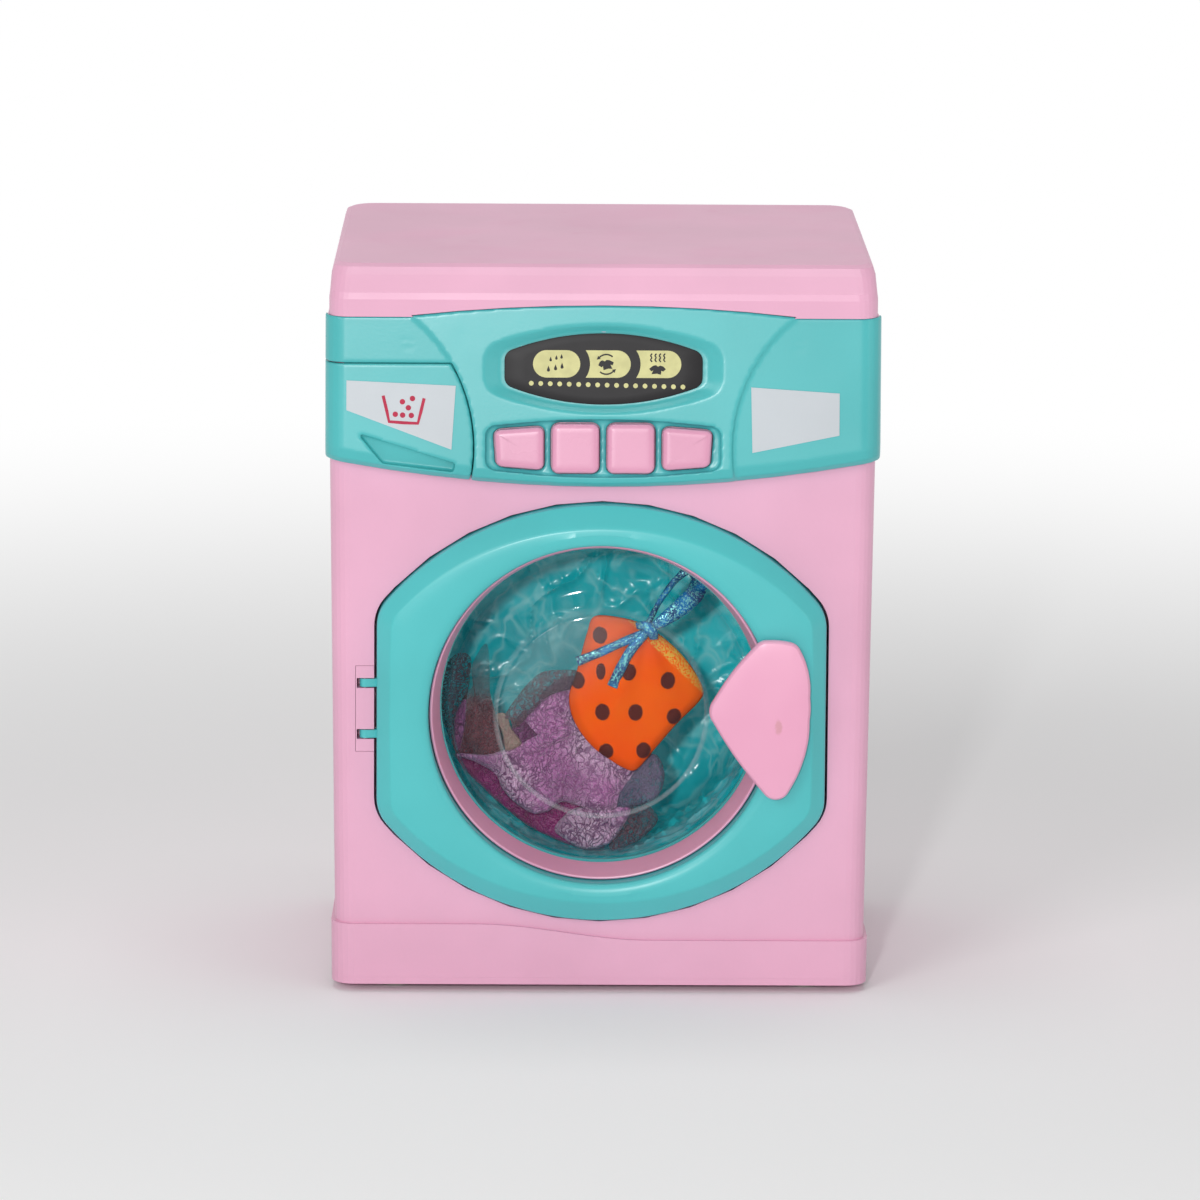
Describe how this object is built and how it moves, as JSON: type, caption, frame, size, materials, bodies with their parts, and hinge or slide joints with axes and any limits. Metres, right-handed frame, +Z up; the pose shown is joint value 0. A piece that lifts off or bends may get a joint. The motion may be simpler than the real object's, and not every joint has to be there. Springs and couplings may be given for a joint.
{
  "type": "toy washing machine",
  "caption": "Toy front-loading washing machine in pink and turquoise, with a swinging porthole door, push buttons, a pull-out detergent drawer and a geared drum holding doll clothes.",
  "frame": {"origin": "centre of the overall box at floor level", "axes": "+Z up, -Y towards the door, +X to the viewer's right"},
  "size_m": [0.205, 0.1616, 0.274],
  "materials": {
    "pink_shell": "moulded, soft sheen",
    "button_pink": "moulded, glossy",
    "turquoise": "moulded, glossy",
    "drum_teal": "moulded, glossy",
    "clear_window": "clear, polished",
    "black_plastic": "glossy",
    "label_grey": "satin film",
    "white_plastic": "moulded",
    "steel": "plated",
    "motor_can": "thin plated can over coils, so a light metal stands for its mean density",
    "brass": "plain",
    "board_green": "lacquered board",
    "pale_rubber": "silicone",
    "battery_wrap": "printed wrap without lettering; a light metal stands for the cell's mean density",
    "orange_cloth": "plain weave with brown dots",
    "purple_cloth": "crinkled sheer cloth",
    "blue_cloth": "glitter ribbon"
  },
  "bodies": {
    "cabinet": {"front_shell": "pink_shell", "back_shell": "pink_shell", "base_plate": "pink_shell", "feet": "pale_rubber", "top_cover": "pink_shell", "case_screws": "steel", "small_screws": "steel", "control_fascia": "turquoise", "fascia_screws": "steel", "display_panel": "black_plastic", "right_label": "label_grey", "control_board": "board_green", "indicator_lamps": "white_plastic", "button_pad": "pale_rubber", "board_screws": "steel", "drawer_housing": "white_plastic", "hinge_block": "pink_shell", "hinge_pin": "steel", "drum_frame": "white_plastic", "frame_screws": "steel", "shaft_bush": "brass", "gear_axle": "steel", "motor": "motor_can", "motor_plate": "white_plastic", "motor_screws": "steel", "battery_box": "white_plastic", "batteries": "battery_wrap", "battery_contacts": "steel", "battery_cover": "pink_shell", "battery_cover_screw": "steel", "speaker": "black_plastic", "speaker_clamp": "white_plastic", "power_switch_body": "black_plastic"},
    "door": {"door_frame": "turquoise", "door_ring": "button_pink", "door_window": "clear_window", "door_back": "turquoise", "door_screws": "steel"},
    "drawer": {"detergent_drawer": "turquoise", "drawer_label": "label_grey"},
    "button_a": {"button_1": "button_pink"},
    "button_b": {"button_2": "button_pink"},
    "button_c": {"button_3": "button_pink"},
    "button_d": {"button_4": "button_pink"},
    "drum_unit": {"drum": "drum_teal", "drum_shaft": "steel", "drum_gear": "white_plastic", "shaft_clip": "steel", "orange_dress": "orange_cloth", "purple_dress": "purple_cloth", "blue_ribbon": "blue_cloth"},
    "reduction": {"compound_gear": "white_plastic"},
    "rotor": {"motor_shaft": "steel", "motor_pinion": "brass"},
    "switch_slider": {"power_switch_knob": "black_plastic"}
  },
  "joints": [
    {"name": "door_swing", "type": "hinge", "parent": "cabinet", "child": "door", "pos_m": [-0.0877, -0.06505, 0.107], "axis": [0, 0, -1], "range_deg": [0, 100]},
    {"name": "drawer_slide", "type": "slide", "parent": "cabinet", "child": "drawer", "axis": [0, -1, 0], "range_m": [0, 0.042]},
    {"name": "press_1", "type": "slide", "parent": "cabinet", "child": "button_a", "axis": [0, 0.9903, -0.1392], "range_m": [0, 0.002], "stiffness_N_per_m": 250, "deforming": ["button_pad"]},
    {"name": "press_2", "type": "slide", "parent": "cabinet", "child": "button_b", "axis": [0, 0.9903, -0.1392], "range_m": [0, 0.002], "stiffness_N_per_m": 250, "deforming": ["button_pad"]},
    {"name": "press_3", "type": "slide", "parent": "cabinet", "child": "button_c", "axis": [0, 0.9903, -0.1392], "range_m": [0, 0.002], "stiffness_N_per_m": 250, "deforming": ["button_pad"]},
    {"name": "press_4", "type": "slide", "parent": "cabinet", "child": "button_d", "axis": [0, 0.9903, -0.1392], "range_m": [0, 0.002], "stiffness_N_per_m": 250, "deforming": ["button_pad"]},
    {"name": "drum_turn", "type": "hinge", "parent": "cabinet", "child": "drum_unit", "pos_m": [0, 0.02215, 0.107], "axis": [0, 1, 0], "continuous": true},
    {"name": "reduction_turn", "type": "hinge", "parent": "cabinet", "child": "reduction", "pos_m": [0.01806, 0.03975, 0.13828], "axis": [0, 1, 0], "continuous": true},
    {"name": "rotor_turn", "type": "hinge", "parent": "cabinet", "child": "rotor", "pos_m": [0.01806, 0.04575, 0.1558], "axis": [0, 1, 0], "continuous": true},
    {"name": "switch_slide", "type": "slide", "parent": "cabinet", "child": "switch_slider", "axis": [1, 0, 0], "range_m": [0, 0.004]}
  ],
  "couplings": [
    {"joint": "reduction_turn", "follows": "drum_turn", "ratio": -5},
    {"joint": "rotor_turn", "follows": "drum_turn", "ratio": 24}
  ]
}
